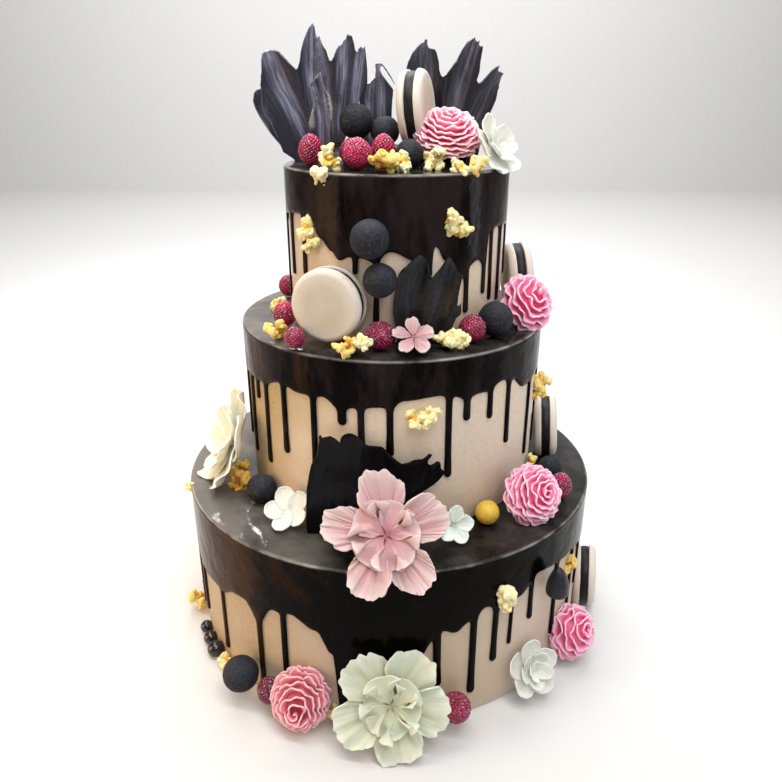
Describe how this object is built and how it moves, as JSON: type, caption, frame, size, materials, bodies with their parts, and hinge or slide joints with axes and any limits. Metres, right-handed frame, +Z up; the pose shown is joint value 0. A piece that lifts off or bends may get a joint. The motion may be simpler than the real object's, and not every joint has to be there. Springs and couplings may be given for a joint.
{
  "type": "tiered cake",
  "caption": "Round tiered celebration cake, glazed with dark chocolate drips and dressed with shards, macarons, berries, popcorn and sugar flowers.",
  "frame": {"origin": "centre of the flat bottom of the lowest tier", "axes": "+Z up through the tiers, -Y towards the dressed front, +X to the right of someone who faces the front"},
  "size_m": [0.3311, 0.3578, 0.4268],
  "materials": {
    "buttercream": "smooth satin buttercream, pale beige pink",
    "glaze": "wet-looking dark chocolate glaze, high gloss",
    "shard": "brushed satin chocolate, charcoal",
    "truffle": "dusty matte chocolate, blue black",
    "drop": "satin dark chocolate",
    "gold": "dusty yellow",
    "macaron": "matte cream shell",
    "raspberry": "moist deep crimson",
    "ruffle": "matte pink icing",
    "blush": "matte pale pink sugar paste",
    "ivory": "matte ivory sugar paste",
    "mint": "matte greenish white sugar paste"
  },
  "bodies": {
    "root": {"tier_bottom": "buttercream", "tier_middle": "buttercream", "tier_top": "buttercream", "glaze_bottom": "glaze", "glaze_middle": "glaze", "glaze_top": "glaze", "chocolate_drop": "drop", "gold_ball": "gold", "macaron_back": "macaron", "macaron_foot_right": "macaron", "macaron_lower_right": "macaron", "macaron_middle_left": "macaron", "macaron_middle_right": "macaron", "macaron_top": "macaron", "mint_blossom": "mint", "pink_blossom": "blush", "pink_blossom_back": "blush", "pink_flower": "blush", "raspberry_back": "raspberry", "raspberry_foot_left": "raspberry", "raspberry_foot_right": "raspberry", "raspberry_lower_right": "raspberry", "raspberry_middle_back": "raspberry", "raspberry_middle_front": "raspberry", "raspberry_middle_left": "raspberry", "raspberry_middle_low": "raspberry", "raspberry_middle_right": "raspberry", "raspberry_top_back": "raspberry", "raspberry_top_front": "raspberry", "raspberry_top_left": "raspberry", "raspberry_top_middle": "raspberry", "ruffle_back": "ruffle", "ruffle_foot_left": "ruffle", "ruffle_foot_right": "ruffle", "ruffle_lower": "ruffle", "ruffle_middle": "ruffle", "ruffle_top": "ruffle", "shard_lower": "shard", "shard_middle": "shard", "shard_top_front": "shard", "shard_top_left": "shard", "shard_top_middle": "shard", "shard_top_right": "shard", "shard_top_side": "shard", "truffle_back": "truffle", "truffle_foot_left": "truffle", "truffle_lower_left": "truffle", "truffle_lower_right": "truffle", "truffle_middle_right": "truffle", "truffle_side_high": "truffle", "truffle_side_low": "truffle", "truffle_top_front": "truffle", "truffle_top_left": "truffle", "truffle_top_middle": "truffle", "white_blossom_back": "ivory", "white_blossom_foot": "ivory", "white_blossom_left": "ivory", "white_flower_foot": "ivory", "white_flower_left": "ivory", "white_flower_top": "ivory"}
  },
  "joints": []
}
